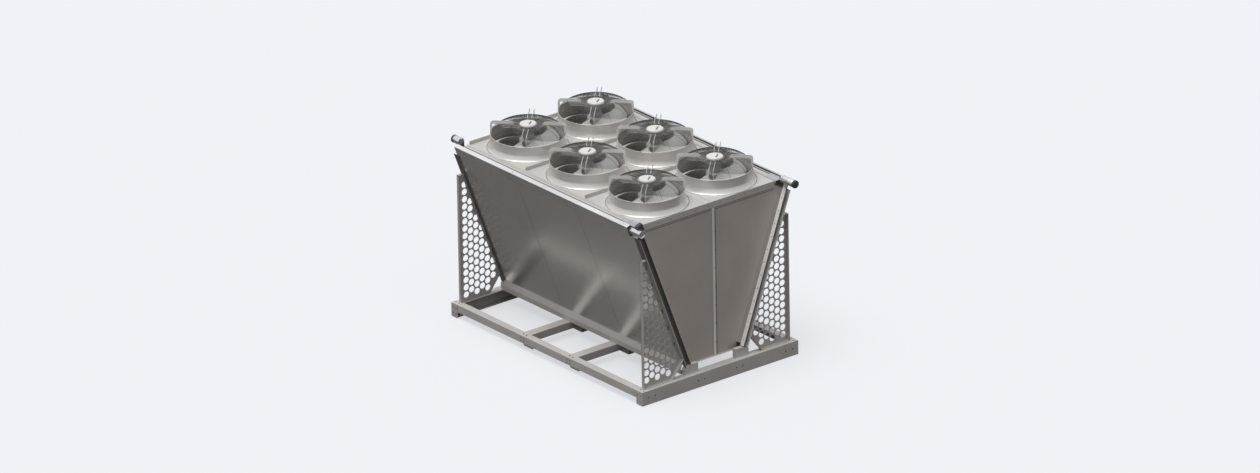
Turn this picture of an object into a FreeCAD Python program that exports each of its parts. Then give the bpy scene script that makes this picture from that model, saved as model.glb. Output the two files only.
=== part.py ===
import FreeCAD, Part
import math
import os
from FreeCAD import Vector

# Six-fan dry cooler with two leaning coils on a skid base, in millimetres.
# Frame: origin at the middle of the base's underside, +X along the coils to the near end,
# +Y across to the right-hand coil, +Z up. Shapes are drawn for the right or near side and
# then mirrored or turned half a turn about Z.

# Fits
seat = 0.3                      # rest gap between pieces that are bolted together
shaft_clearance = 0.05          # radial running clearance of a fan hub on its motor shaft

# Skid base
base_length = 3420.0
base_width = 2260.0
base_sheet = 5.0
sill_height = 168.0
sill_width = 115.0
sill_lower_flange = 90.0
rail_depth = 90.0
rail_flange = 93.0
rail_lower_flange = 58.0
cross_depth = 87.0
cross_width = 120.0
cross_lower_flange = 70.0
cross_spacing = 834.0           # between the two cross members
cross_shift = -24.0             # both sit a little towards the far end
foot_length = 176.0
foot_taper = 12.0
foot_width = 80.0
outer_foot_inset = 87.0         # of the outer feet from the base's side
inner_foot_reach = 320.0        # outer face of the inner feet

# Coil banks: a lean from the vertical, and the top outer edge that the lean starts at
bank_lean = math.radians(20.4)
bank_top_reach = 1128.0
bank_top_height = 2105.0
coil_length = 3206.0
coil_thickness = 66.0
coil_slope = 1935.0             # down the slope, from the top edge to the coil's bottom
section_count = 3
section_groove_width = 4.0
section_groove_depth = 3.0

# Pressed cover over the header at the top of each bank
cover_sheet = 2.0
cover_leg = 116.0
cover_top = 54.0
cover_return = 22.0
cover_open_end = 1480.0         # the end where the bare header comes out
header_radius = 44.45
header_wall = 2.9
header_depth = 47.5             # inward from the coil's outer face
header_run = 69.2               # down the slope
header_open_end = 1669.0
header_plug_inset = 12.0

# Connection pipe above each header, out of a corner block
stub_length_near = 233.0        # past the block at the near end
stub_length_far = 133.0
stub_depth = 109.0
stub_run = 6.5
block_length = 46.0
block_inner = 134.0
block_top = -7.0
block_bottom = 80.0
stub_block_inner = 122.0
stub_block_top = -14.0
stub_block_waist = 104.0        # its inner side leans outwards down to this depth
stub_block_waist_run = 45.0
stub_block_foot = 60.0          # its underside slopes up to the inner side from here
stub_block_foot_run = 108.0
stub_block_chamfer = 12.0

# C channels along the slanted ends of the coils
channel_sheet = 3.0
channel_depth = 70.0
channel_reach = 57.0            # past the end of the coil
channel_lap = 45.0              # of the outer flange over the coil's face
channel_slope = 1975.0
bank_margin = 10.0              # over-run of cutting shapes

# Inner rails that carry the coils, and the brackets under the channels
inner_rail_sheet = 4.0
inner_rail_offset = 22.5        # of its web out from the coil's lower outer edge
inner_rail_web_top = 226.0
inner_rail_foot = 80.0
inner_rail_setback = 15.0       # of its ends from the coil's ends
shelf_overhang = 2.0
bracket_length = 55.0
bracket_offset = 6.5            # of its outer side from the coil's lower outer edge
bracket_width = 188.0
bracket_sheet = 5.0

# End walls
wall_sheet = 2.5
wall_bottom = 236.0
wall_inset = 3.0                # of its face behind the deck's end
wall_fold = 30.0
strip_width = 48.0
strip_offset = 70.0             # of the sheets' joint and its strip, to the right of the middle
tray_sheet = 3.0

# Fan deck
deck_drop = 1.0                 # of its top below the banks' top edges
deck_setback = 67.0             # of its ends from the coils' ends
deck_inset = 168.0              # of its sides from the banks' top edges
deck_sheet = 3.0
deck_skirt = 40.0
deck_end_skirt = 76.0
rib_height = 43.0
rib_thickness = 6.0
module_gap = 0.5
edge_strip_height = 8.0
edge_strip_width = 38.0
edge_sheet = 2.0
edge_drop = 24.0
edge_plate_length = 203.7

# Fans
fan_pitch_x = 1060.0
fan_pitch_y = 980.0
collar_height = 168.0
collar_bore = 425.0
collar_sheet = 3.0
collar_flare = 39.0             # how far the foot spreads
collar_flare_height = 86.0
collar_bow = 0.28               # where its two tapers meet, as shares of its size
collar_bow_height = 0.30
guard_rise = 297.0              # of the arms above the deck
guard_bend = 34.0
guard_overhang = 1.0            # of the arms past the collar
rail_strip = 20.0               # depth of a guard arm's two bars
rail_bar = 8.0                  # thickness of each bar
rail_pair = 54.0                # outside width of the pair
guard_knee = 190.0
guard_drop = 73.0
guard_hub_radius = 104.0
motor_cap_radius = 97.0
motor_cap_height = 50.0
motor_rise = 289.0              # of the cap above the deck
motor_flange_height = 25.0
motor_neck_radius = 62.0
motor_neck_height = 98.0
motor_shaft_radius = 15.0
motor_shaft_length = 60.0       # inside the hub
rotor_hub_radius = 104.0
rotor_hub_height = 92.0
rotor_gap = 10.0                # from the motor down to the hub
rotor_end_play = 2.0
blade_count = 5
blade_radius = 415.0
blade_root = 80.0
blade_rise = 64.0               # of the blades' middle above the deck
blade_stations = (0.0, 0.33, 0.67, 1.0)     # from the root to the tip
blade_chords = (124.0, 190.0, 235.0, 250.0)
blade_pitches = (42.0, 33.0, 26.0, 20.0)
blade_sweeps = (-4.0, 14.0, 33.0, 52.0)
blade_camber = 0.06
blade_thickness = 7.0
blade_phase = 46.0              # degrees round, of the first blade's root at rest
# Across a blade: where along the chord, and what share of its thickness it has there.
blade_outline = ((-0.5, 0), (-0.2, 1), (0.2, 1), (0.5, 0))

# Perforated end gussets
gusset_sheet = 3.0
gusset_inset = 73.0             # of its outer edge from the banks' top edges
gusset_top = 1722.0
gusset_flange = 45.0
gusset_cut_height = 205.0
gusset_cut_width = 160.0
hole_radius = 37.5
hole_sides = 6
hole_pitch = 90.0
hole_column_pitch = 78.0
hole_side_margin = 68.0
hole_columns = 6
hole_bottom_margin = 82.0
hole_top_margin = 60.0
hole_edge_margin = 8.0
hole_slant_margin = 20.0        # of a hole's centre from the slanted edge

lean_sin = math.sin(bank_lean)
lean_cos = math.cos(bank_lean)
half_length = base_length / 2
half_width = base_width / 2
sill_inner = half_length - sill_width
outer_foot_reach = half_width - outer_foot_inset
coil_end = coil_length / 2
coil_foot_reach = bank_top_reach - coil_slope * lean_sin
header_seat = header_radius + seat
block_start = coil_end - block_length
inner_rail_reach = coil_foot_reach + inner_rail_offset
bracket_outer = coil_foot_reach + bracket_offset
bracket_inner = bracket_outer - bracket_width
deck_height = bank_top_height - deck_drop
deck_half_length = coil_end - deck_setback
deck_half_width = bank_top_reach - deck_inset
wall_face = deck_half_length - wall_inset
edge_plate_start = block_start - seat - edge_plate_length
guard_top = deck_height + guard_rise
motor_top = deck_height + motor_rise
blade_height = deck_height + blade_rise
gusset_outer = bank_top_reach - gusset_inset


def box(x0, x1, y0, y1, z0, z1):
    return Part.makeBox(x1 - x0, y1 - y0, z1 - z0, Vector(x0, y0, z0))


def bank_point(depth, run):
    # Depth goes in from the outer face of the right-hand coil, run goes down its slope.
    y = bank_top_reach - depth * lean_cos - run * lean_sin
    z = bank_top_height + depth * lean_sin - run * lean_cos
    return y, z


def bank_reach(depth, height):
    # Y of the line at one depth behind the outer face, at a height.
    return bank_top_reach - depth / lean_cos - (bank_top_height - height) * math.tan(bank_lean)


def prism_x(points, x0, x1):
    # A closed outline of (y, z) points, drawn out from x0 to x1.
    corners = [Vector(x0, y, z) for y, z in points]
    return Part.Face(Part.makePolygon(corners + corners[:1])).extrude(Vector(x1 - x0, 0, 0))


def prism_y(points, y0, y1):
    corners = [Vector(x, y0, z) for x, z in points]
    return Part.Face(Part.makePolygon(corners + corners[:1])).extrude(Vector(0, y1 - y0, 0))


def bank_prism(points, x0, x1):
    return prism_x([bank_point(depth, run) for depth, run in points], x0, x1)


def folded(points, thickness):
    # The outline of a folded sheet: the path, and the same path moved to its left.
    moved = []
    for index, (a, b) in enumerate(points):
        sides = []
        if index > 0:
            sides.append((a - points[index - 1][0], b - points[index - 1][1]))
        if index < len(points) - 1:
            sides.append((points[index + 1][0] - a, points[index + 1][1] - b))
        normals = [(-q / math.hypot(p, q), p / math.hypot(p, q)) for p, q in sides]
        na = sum(normal[0] for normal in normals)
        nb = sum(normal[1] for normal in normals)
        scale = thickness * len(normals) / (na * na + nb * nb)
        moved.append((a + na * scale, b + nb * scale))
    return list(points) + moved[::-1]


def outline(start, *steps):
    # A wire in the XZ plane: a step is an end point, or a middle and an end for an arc.
    edges = []
    here = Vector(start[0], 0, start[1])
    for step in list(steps) + [start]:
        if isinstance(step[0], tuple):
            middle, end = [Vector(r, 0, z) for r, z in step]
            edges.append(Part.Arc(here, middle, end).toShape())
        else:
            end = Vector(step[0], 0, step[1])
            edges.append(Part.LineSegment(here, end).toShape())
        here = end
    return Part.Wire(edges)


def revolved(start, *steps):
    face = Part.Face(outline(start, *steps))
    return face.revolve(Vector(0, 0, 0), Vector(0, 0, 1), 360)


def moved(shape, x=0.0, y=0.0, z=0.0):
    copy = shape.copy()
    copy.translate(Vector(x, y, z))
    return copy


def spun(shape, degrees):
    copy = shape.copy()
    copy.rotate(Vector(0, 0, 0), Vector(0, 0, 1), degrees)
    return copy


def mirrored_y(shape):
    return shape.mirror(Vector(0, 0, 0), Vector(0, 1, 0))


def mirrored_x(shape):
    return shape.mirror(Vector(0, 0, 0), Vector(1, 0, 0))


def both_sides(shape):
    return [shape, mirrored_y(shape)]


def export(name, solids):
    shape = solids[0] if len(solids) == 1 else Part.makeCompound(solids)
    shape.exportStep(f"parts/{name}.step")


# Skid base

def end_sill():
    # A channel that opens inwards, with its web on the outer face.
    path = [
        (half_length - sill_lower_flange, 0.0),
        (half_length, 0.0),
        (half_length, sill_height),
        (sill_inner, sill_height),
    ]
    return prism_y(folded(path, base_sheet), -half_width, half_width)


def outer_rail():
    path = [
        (half_width - rail_lower_flange, sill_height - rail_depth),
        (half_width, sill_height - rail_depth),
        (half_width, sill_height),
        (half_width - rail_flange, sill_height),
    ]
    return prism_x(folded(path, base_sheet), seat - sill_inner, sill_inner - seat)


def cross_member(centre):
    # Its web faces the near end, under the right edge of the top flange.
    web = centre + cross_width / 2
    bottom = sill_height - cross_depth
    path = [
        (web - cross_lower_flange, bottom),
        (web, bottom),
        (web, sill_height),
        (web - cross_width, sill_height),
    ]
    reach = half_width - rail_flange - seat
    return prism_y(folded(path, base_sheet), -reach, reach)


def feet(centre):
    top = sill_height - cross_depth - seat
    half = foot_length / 2
    outer = [
        (centre - half + foot_taper, 0.0),
        (centre + half - foot_taper, 0.0),
        (centre + half, top),
        (centre - half, top),
    ]
    solids = []
    for reach in (outer_foot_reach, inner_foot_reach):
        solids += both_sides(prism_y(outer, reach - foot_width, reach))
    return solids


def inner_rail():
    # Foot flange, web, sloped shoulder, and a shelf under the coil.
    path = [
        (inner_rail_reach - inner_rail_foot, sill_height + seat),
        (inner_rail_reach, sill_height + seat),
        (inner_rail_reach, inner_rail_web_top),
        bank_point(-shelf_overhang, coil_slope + seat),
        bank_point(channel_depth, coil_slope + seat),
    ]
    half = coil_end - inner_rail_setback
    return prism_x(folded(path, inner_rail_sheet), -half, half)


def foot_bracket():
    # A folded box under the lower end of a channel, open to the inside.
    def section(margin):
        def top(y):
            return bank_height(y, channel_slope + seat + margin)
        knee = bank_point(channel_depth, channel_slope + seat)[0]
        return [
            (bracket_outer - margin, sill_height + seat),
            (bracket_outer - margin, top(bracket_outer - margin)),
            (knee, top(knee)),
            (bracket_inner + margin, top(knee)),
            (bracket_inner + margin, sill_height + seat),
        ]
    near = sill_inner + bracket_length
    outer = prism_x(section(0.0), sill_inner, near)
    return outer.cut(prism_x(section(bracket_sheet), sill_inner, near - bracket_sheet))


def bank_height(y, run):
    # Height of the line across the bank at one run, above a Y.
    return bank_top_height - run / lean_cos + (bank_top_reach - y) * math.tan(bank_lean)


# Coil banks

def coil():
    solid = bank_prism(
        [
            (seat, cover_leg + seat),
            (coil_thickness, cover_leg + seat),
            (coil_thickness, coil_slope),
            (seat, coil_slope),
        ],
        -coil_end,
        coil_end,
    )
    for index in range(1, section_count):
        x = -coil_end + coil_length * index / section_count
        groove = bank_prism(
            [
                (-seat, cover_leg),
                (seat + section_groove_depth, cover_leg),
                (seat + section_groove_depth, coil_slope + seat),
                (-seat, coil_slope + seat),
            ],
            x - section_groove_width / 2,
            x + section_groove_width / 2,
        )
        solid = solid.cut(groove)
    return solid


def end_channel():
    web = coil_end + seat
    tip = coil_end + channel_reach
    lap = coil_end - channel_lap
    section = [
        (lap, -channel_sheet),
        (tip, -channel_sheet),
        (tip, 0.0),
        (web + channel_sheet, 0.0),
        (web + channel_sheet, channel_depth - channel_sheet),
        (tip, channel_depth - channel_sheet),
        (tip, channel_depth),
        (web, channel_depth),
        (web, 0.0),
        (lap, 0.0),
    ]
    corners = []
    for x, depth in section:
        y, z = bank_point(depth, cover_leg + seat)
        corners.append(Vector(x, y, z))
    face = Part.Face(Part.makePolygon(corners + corners[:1]))
    run = channel_slope - cover_leg - seat
    channel = face.extrude(Vector(0, -run * lean_sin, -run * lean_cos))
    below_coil = bank_prism(
        [
            (-bank_margin, coil_slope),
            (bank_margin, coil_slope),
            (bank_margin, channel_slope + bank_margin),
            (-bank_margin, channel_slope + bank_margin),
        ],
        lap - bank_margin,
        web,
    )
    return channel.cut(below_coil)


def header_cover():
    path = [
        (cover_top, cover_return),
        (cover_top, 0.0),
        (0.0, 0.0),
        (0.0, cover_leg),
    ]
    section = folded([(depth, -run) for depth, run in path], cover_sheet)
    points = [(depth, -height) for depth, height in section]
    return bank_prism(points, -cover_open_end, coil_end)


def header_pipe():
    # Its open end has a plug set back in it.
    centre = bank_point(header_depth, header_run)
    start = Vector(-header_open_end, *centre)
    axis = Vector(1, 0, 0)
    length = header_open_end + block_start - seat
    pipe = Part.makeCylinder(header_radius, length, start, axis)
    recess = Part.makeCylinder(header_radius - header_wall, header_plug_inset, start, axis)
    return pipe.cut(recess)


def connection_stub(length):
    # A closed pipe out of the corner block.
    centre = Vector(coil_end + seat, *bank_point(stub_depth, stub_run))
    return Part.makeCylinder(header_radius, length, centre, Vector(1, 0, 0))


def plain_block():
    # Moulded block beside the header's open end, under the end of the deck edge.
    x0, x1 = block_start, coil_end
    inner_edge = cover_top + seat
    corners = [
        (inner_edge, block_top),
        (block_inner, block_top),
        (block_inner, block_bottom),
        (inner_edge, block_bottom),
    ]
    block = bank_prism(corners, x0, x1)
    header_centre = Vector(x0, *bank_point(header_depth, header_run))
    bore = Part.makeCylinder(header_seat, x1 - x0, header_centre, Vector(1, 0, 0))
    return block.cut(bore).removeSplitter()


def stub_block():
    # Moulded block that plugs the header cover and carries the connection pipe.
    inner_edge = cover_top + seat
    outer_edge = cover_sheet + seat
    under_return = cover_return + seat
    corners = [
        (inner_edge, 0.0),
        (inner_edge, under_return),
        (outer_edge, under_return),
        (outer_edge, stub_block_foot_run - stub_block_chamfer),
        (outer_edge + stub_block_chamfer, stub_block_foot_run),
        (stub_block_foot, stub_block_foot_run),
        (stub_block_waist, stub_block_waist_run),
        (stub_block_inner, stub_block_top),
    ]
    return bank_prism(corners, block_start, coil_end)


# End walls and the tray between the coils

def end_wall_half(joint):
    # A sheet from its joint out to a coil's inner face, with a flange folded out at its foot.
    inner = wall_face - wall_sheet
    top = deck_height - deck_sheet - seat
    side = deck_half_width - deck_sheet - seat
    foot = bank_reach(channel_depth + seat, wall_bottom)
    sheet = prism_x(
        [
            (joint, wall_bottom),
            (foot, wall_bottom),
            bank_point(channel_depth + seat, coil_slope),
            bank_point(coil_thickness + seat, coil_slope),
            bank_point(coil_thickness + seat, cover_leg + seat),
            (side, deck_height - deck_skirt - seat),
            (side, top),
            (joint, top),
        ],
        inner,
        wall_face,
    )
    flange = box(
        wall_face, wall_face + wall_fold, joint, foot, wall_bottom, wall_bottom + wall_sheet
    )
    return sheet.fuse(flange).removeSplitter()


def cover_strip():
    return box(
        wall_face + seat, wall_face + seat + wall_sheet,
        strip_offset - strip_width / 2, strip_offset + strip_width / 2,
        wall_bottom + wall_sheet + seat, deck_height - deck_end_skirt - seat,
    )


def floor_tray():
    # Closes the bottom of the V, between the inner rails' shelves and the end walls.
    side = bank_point(channel_depth, coil_slope + seat + inner_rail_sheet)[0] - seat
    top = bank_point(channel_depth, coil_slope + seat)[1]
    path = [(-side, top), (-side, wall_bottom), (side, wall_bottom), (side, top)]
    reach = wall_face - wall_sheet - seat
    return prism_x(folded(path, tray_sheet), -reach, reach)


# Fan deck

def deck_module(x0, x1, end):
    # A tray with its sides folded down, a rib along its far edge, and two fan openings.
    # The end is 1 or -1 for a module with a skirt at the near or far end of the deck.
    y = deck_half_width
    top = deck_height
    under = top - deck_sheet
    module = box(x0, x1, -y, y, under, top)
    for side in (-y, y - deck_sheet):
        module = module.fuse(box(x0, x1, side, side + deck_sheet, top - deck_skirt, top))
    module = module.fuse(box(x0, x0 + rib_thickness, -y, y, under, top + rib_height))
    if end:
        skirt = box(wall_face + seat, deck_half_length, -y, y, top - deck_end_skirt, top)
        module = module.fuse(skirt if end > 0 else mirrored_x(skirt))
    middle = fan_pitch_x * round((x0 + x1) / 2 / fan_pitch_x)
    for side in (-1, 1):
        centre = Vector(middle, side * fan_pitch_y / 2, under)
        module = module.cut(Part.makeCylinder(collar_bore, deck_sheet, centre))
    return module.removeSplitter()


def deck_edge():
    # The strip beside the deck, and the lower channel out to the header cover.
    inner = deck_half_width + seat
    outer = bank_reach(cover_top, deck_height) - seat
    high = deck_height + edge_strip_height
    path = [
        (outer, deck_height + edge_sheet),
        (inner + edge_strip_width, deck_height + edge_sheet),
        (inner + edge_strip_width, high),
        (inner, high),
        (inner, high - edge_drop),
    ]
    return prism_x(folded(path, edge_sheet), -deck_half_length, edge_plate_start)


def deck_edge_plate():
    inner = deck_half_width + seat
    outer = bank_reach(cover_top, deck_height) - seat
    high = deck_height + edge_strip_height
    path = [(outer, high), (inner, high), (inner, high - edge_drop)]
    start = edge_plate_start + seat
    return prism_x(folded(path, edge_sheet), start, block_start - seat)


# Fans, drawn about Z and moved to their places

fan_names = ("near_left", "near_right", "middle_left", "middle_right", "far_left", "far_right")


def fan_places():
    # In the order of the names.
    places = []
    for row in (1, 0, -1):
        for side in (-1, 1):
            places.append((row * fan_pitch_x, side * fan_pitch_y / 2))
    return places


def fan_collar():
    foot = deck_height + seat
    wall = collar_bore + collar_sheet
    flare = wall + collar_flare
    neck = foot + collar_flare_height
    rim = deck_height + collar_height
    return revolved(
        (collar_bore, foot),
        (flare, foot),
        (wall + collar_bow * collar_flare, foot + collar_bow_height * collar_flare_height),
        (wall, neck),
        (wall, rim),
        (collar_bore, rim),
    )


def guard_bar():
    # The side view of one arm bar, from the rim up, in and down to the motor's flange.
    rim = deck_height + collar_height + seat
    outer = collar_bore + collar_sheet + guard_overhang
    hub = guard_hub_radius + seat
    end = math.sqrt(hub * hub - (rail_pair / 2 - rail_bar) ** 2)
    path = [
        (outer, rim),
        (outer, guard_top - guard_bend),
        (outer - guard_bend, guard_top),
        (guard_knee, guard_top),
        (end, guard_top - guard_drop * (guard_knee - end) / (guard_knee - hub)),
    ]
    return [Vector(r, 0, z) for r, z in folded(path, rail_strip)]


def fan_guard():
    # Four arms of two flat bars each, which carry the motor over the fan.
    corners = guard_bar()
    bar = Part.Face(Part.makePolygon(corners + corners[:1])).extrude(Vector(0, rail_bar, 0))
    reach = guard_hub_radius + seat
    motor_space = Part.makeCylinder(reach, guard_top, Vector(0, 0, 0))
    bars = []
    for start in (-rail_pair / 2, rail_pair / 2 - rail_bar):
        one = moved(bar, y=start).cut(motor_space)
        bars += [spun(one, 45 + 90 * quarter) for quarter in range(4)]
    return bars


def motor_levels():
    # Heights of the flange's top, its underside, the neck's end and the hub's top.
    flange_top = motor_top - motor_cap_height
    flange_low = flange_top - motor_flange_height
    neck_low = flange_low - motor_neck_height
    return flange_top, flange_low, neck_low, neck_low - rotor_gap


def fan_motor():
    # Fixed cap, flange and neck, with the shaft that the rotor hub turns on.
    flange_top, flange_low, neck_low, hub_top = motor_levels()
    return revolved(
        (0.0, motor_top),
        (motor_cap_radius, motor_top),
        (motor_cap_radius, flange_top),
        (guard_hub_radius, flange_top),
        (guard_hub_radius, flange_low),
        (motor_neck_radius, flange_low),
        (motor_neck_radius, neck_low),
        (motor_shaft_radius, neck_low),
        (motor_shaft_radius, hub_top - motor_shaft_length),
        (0.0, hub_top - motor_shaft_length),
    )


def blade_row(station, face):
    # Four points across a thin cambered section, wrapped on a cylinder about the fan's axis.
    share, chord, pitch, sweep = station
    reach = blade_root + share * (blade_radius - blade_root)
    pitch = math.radians(pitch)
    points = []
    for along, swell in blade_outline:
        bow = chord * blade_camber * (1 - 4 * along * along)
        rise = bow + face * swell * blade_thickness / 2
        round_axis = chord * along * math.cos(pitch) - rise * math.sin(pitch)
        height = chord * along * math.sin(pitch) + rise * math.cos(pitch)
        angle = round_axis / reach + math.radians(sweep)
        x, y = reach * math.cos(angle), reach * math.sin(angle)
        points.append(Vector(x, y, blade_height + height))
    return points


def flat_face(*points):
    return Part.Face(Part.makePolygon(list(points) + [points[0]]))


def blade():
    # Flat-faced skin over the rows of its upper and lower face, closed at the root and the tip.
    stations = list(zip(blade_stations, blade_chords, blade_pitches, blade_sweeps))
    tops = [blade_row(station, 1) for station in stations]
    lows = [blade_row(station, -1) for station in stations]
    faces = []
    for rows in (tops, lows):
        for inner, outer in zip(rows, rows[1:]):
            for index in range(len(inner) - 1):
                faces.append(flat_face(inner[index], inner[index + 1], outer[index + 1]))
                faces.append(flat_face(inner[index], outer[index + 1], outer[index]))
    for top, low in ((tops[0], lows[0]), (tops[-1], lows[-1])):
        faces.append(flat_face(top[0], top[1], low[1]))
        faces.append(flat_face(top[1], top[2], low[2]))
        faces.append(flat_face(top[1], low[2], low[1]))
        faces.append(flat_face(top[2], top[3], low[2]))
    skin = Part.makeShell(faces)
    skin.sewShape()
    solid = Part.makeSolid(skin)
    if solid.Volume < 0:
        solid.reverse()
    return solid


def fan_rotor():
    hub_top = motor_levels()[-1]
    hub_low = hub_top - rotor_hub_height
    bore = motor_shaft_radius + shaft_clearance
    bore_low = hub_top - motor_shaft_length - rotor_end_play
    rotor = revolved(
        (bore, hub_top),
        (rotor_hub_radius, hub_top),
        (rotor_hub_radius, hub_low),
        (0.0, hub_low),
        (0.0, bore_low),
        (bore, bore_low),
    )
    one = blade()
    for index in range(blade_count):
        rotor = rotor.fuse(spun(one, blade_phase + 360.0 * index / blade_count))
    return rotor.removeSplitter()


# Perforated gussets

def gusset():
    # The near right-hand panel beside the channel, with flanges folded outwards on all its edges.
    x1 = coil_end + channel_reach - gusset_flange
    x0 = x1 - gusset_sheet
    bottom = sill_height + seat
    inner_depth = -channel_sheet - seat
    cut_top = bottom + gusset_cut_height
    cut_inner = bank_reach(inner_depth, cut_top)
    cut_foot = cut_inner + gusset_cut_width
    corners = [
        (gusset_outer, bottom),
        (gusset_outer, gusset_top),
        (bank_reach(inner_depth, gusset_top), gusset_top),
        (cut_inner, cut_top),
        (cut_foot, bottom),
    ]
    holes = []
    for column in range(hole_columns):
        y = gusset_outer - hole_side_margin - column * hole_column_pitch
        shift = hole_pitch / 2 if column % 2 else 0.0
        z = bottom + hole_bottom_margin + shift
        while z < gusset_top - hole_top_margin:
            if hole_is_clear(y, z, cut_foot, bottom, cut_inner, cut_top):
                holes.append(perforation(y, z, x0, x1))
            z += hole_pitch
    panel = prism_x(corners, x0, x1).cut(Part.makeCompound(holes))
    for index, start in enumerate(corners):
        end = corners[(index + 1) % len(corners)]
        panel = panel.fuse(prism_x(folded([start, end], gusset_sheet), x1, x1 + gusset_flange))
    return panel.removeSplitter()


def hole_is_clear(y, z, cut_foot, bottom, cut_inner, cut_top):
    # The slanted edge may run through a hole, the cut corner keeps clear of them.
    needed = hole_radius + hole_edge_margin
    slant = (y - bank_reach(-channel_sheet - seat, z)) * lean_cos
    rise = cut_top - bottom
    run = cut_foot - cut_inner
    corner = ((y - cut_foot) * rise + (z - bottom) * run) / math.hypot(rise, run)
    return slant >= hole_slant_margin and corner >= needed


def perforation(y, z, x0, x1):
    # A round hole, drawn with a few flat sides.
    points = []
    for side in range(hole_sides):
        angle = 2 * math.pi * (side + 0.5) / hole_sides
        points.append((y + hole_radius * math.cos(angle), z + hole_radius * math.sin(angle)))
    return prism_x(points, x0, x1)


os.makedirs("parts", exist_ok=True)

near_sill = end_sill()
export("end_sill_near", [near_sill])
export("end_sill_far", [mirrored_x(near_sill)])
right_rail = outer_rail()
export("outer_rail_right", [right_rail])
export("outer_rail_left", [mirrored_y(right_rail)])
cross_near = cross_shift + cross_spacing / 2
cross_far = cross_shift - cross_spacing / 2
export("cross_member_near", [cross_member(cross_near)])
export("cross_member_far", [cross_member(cross_far)])
export("skid_feet_near", feet(cross_near))
export("skid_feet_far", feet(cross_far))
coil_rail = inner_rail()
export("inner_rail_right", [coil_rail])
export("inner_rail_left", [mirrored_y(coil_rail)])
near_brackets = both_sides(foot_bracket())
export("foot_brackets_near", near_brackets)
export("foot_brackets_far", [mirrored_x(bracket) for bracket in near_brackets])

right_coil = coil()
export("coil_right", [right_coil])
export("coil_left", [spun(right_coil, 180)])
near_channels = both_sides(end_channel())
export("end_channels_near", near_channels)
export("end_channels_far", [mirrored_x(channel) for channel in near_channels])
right_cover = header_cover()
export("header_cover_right", [right_cover])
export("header_cover_left", [spun(right_cover, 180)])
right_header = header_pipe()
export("pipes_right", [right_header, connection_stub(stub_length_near)])
export("pipes_left", [spun(right_header, 180), spun(connection_stub(stub_length_far), 180)])
right_block = stub_block()
left_block = mirrored_y(plain_block())
export("corner_blocks_near", [right_block, left_block])
export("corner_blocks_far", [spun(right_block, 180), spun(left_block, 180)])

near_wall = [end_wall_half(seat + strip_offset), mirrored_y(end_wall_half(seat - strip_offset))]
export("end_wall_near", near_wall)
export("end_wall_far", [spun(half, 180) for half in near_wall])
near_strip = cover_strip()
export("end_wall_strips", [near_strip, spun(near_strip, 180)])
export("floor_tray", [floor_tray()])

joint_x = fan_pitch_x / 2
export("fan_deck_far", [deck_module(-deck_half_length, -joint_x - module_gap, -1)])
export("fan_deck_middle", [deck_module(-joint_x, joint_x - module_gap, 0)])
export("fan_deck_near", [deck_module(joint_x, deck_half_length, 1)])
right_edge = [deck_edge(), deck_edge_plate()]
export("deck_edge_right", right_edge)
export("deck_edge_left", [mirrored_y(piece) for piece in right_edge])

collar = fan_collar()
guard = fan_guard()
motor = fan_motor()
rotor = fan_rotor()
places = fan_places()
export("fan_collars", [moved(collar, x, y) for x, y in places])
export("fan_guards", [moved(bar, x, y) for x, y in places for bar in guard])
export("fan_motors", [moved(motor, x, y) for x, y in places])
for place, (x, y) in zip(fan_names, places):
    export(f"fan_rotor_{place}", [moved(rotor, x, y)])

right_gusset = gusset()
export("gusset_near_right", [right_gusset])
export("gusset_near_left", [mirrored_y(right_gusset)])
export("gusset_far_right", [mirrored_x(right_gusset)])
export("gusset_far_left", [mirrored_x(mirrored_y(right_gusset))])
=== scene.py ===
import math

import bmesh
import bpy
import numpy as np
from mathutils import Matrix, Vector
from mathutils.geometry import tessellate_polygon


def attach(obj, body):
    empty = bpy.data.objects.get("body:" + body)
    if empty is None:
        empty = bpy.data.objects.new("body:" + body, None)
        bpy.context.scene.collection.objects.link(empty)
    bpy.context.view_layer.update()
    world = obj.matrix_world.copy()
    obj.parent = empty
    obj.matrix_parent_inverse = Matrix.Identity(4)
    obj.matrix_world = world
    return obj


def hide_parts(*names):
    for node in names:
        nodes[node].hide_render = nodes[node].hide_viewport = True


# Six-fan dry cooler: two leaning coils on a skid base. Metres, in the frame of the solids.
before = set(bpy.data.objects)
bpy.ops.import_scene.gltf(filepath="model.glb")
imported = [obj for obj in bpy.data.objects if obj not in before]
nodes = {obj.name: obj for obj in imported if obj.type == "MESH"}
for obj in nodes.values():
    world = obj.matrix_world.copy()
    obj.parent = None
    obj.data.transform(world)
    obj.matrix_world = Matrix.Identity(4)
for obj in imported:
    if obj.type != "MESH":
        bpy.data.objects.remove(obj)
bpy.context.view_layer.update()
print("frame loaded:", len(nodes), "nodes")

fixedBody = "cooler_frame"
rowNames = {"near": 1.06, "middle": 0.0, "far": -1.06}      # fan rows along X
sideNames = {"left": -0.49, "right": 0.49}                  # fan columns along Y
fanCentres = {f"{row}_{side}": (x, y) for row, x in rowNames.items() for side, y in sideNames.items()}
endWays = {"near": 1.0, "far": -1.0}                        # the way along X to each end
sideWays = {"right": 1.0, "left": -1.0}                     # the way along Y to each side


# Camera, light and floor

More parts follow.
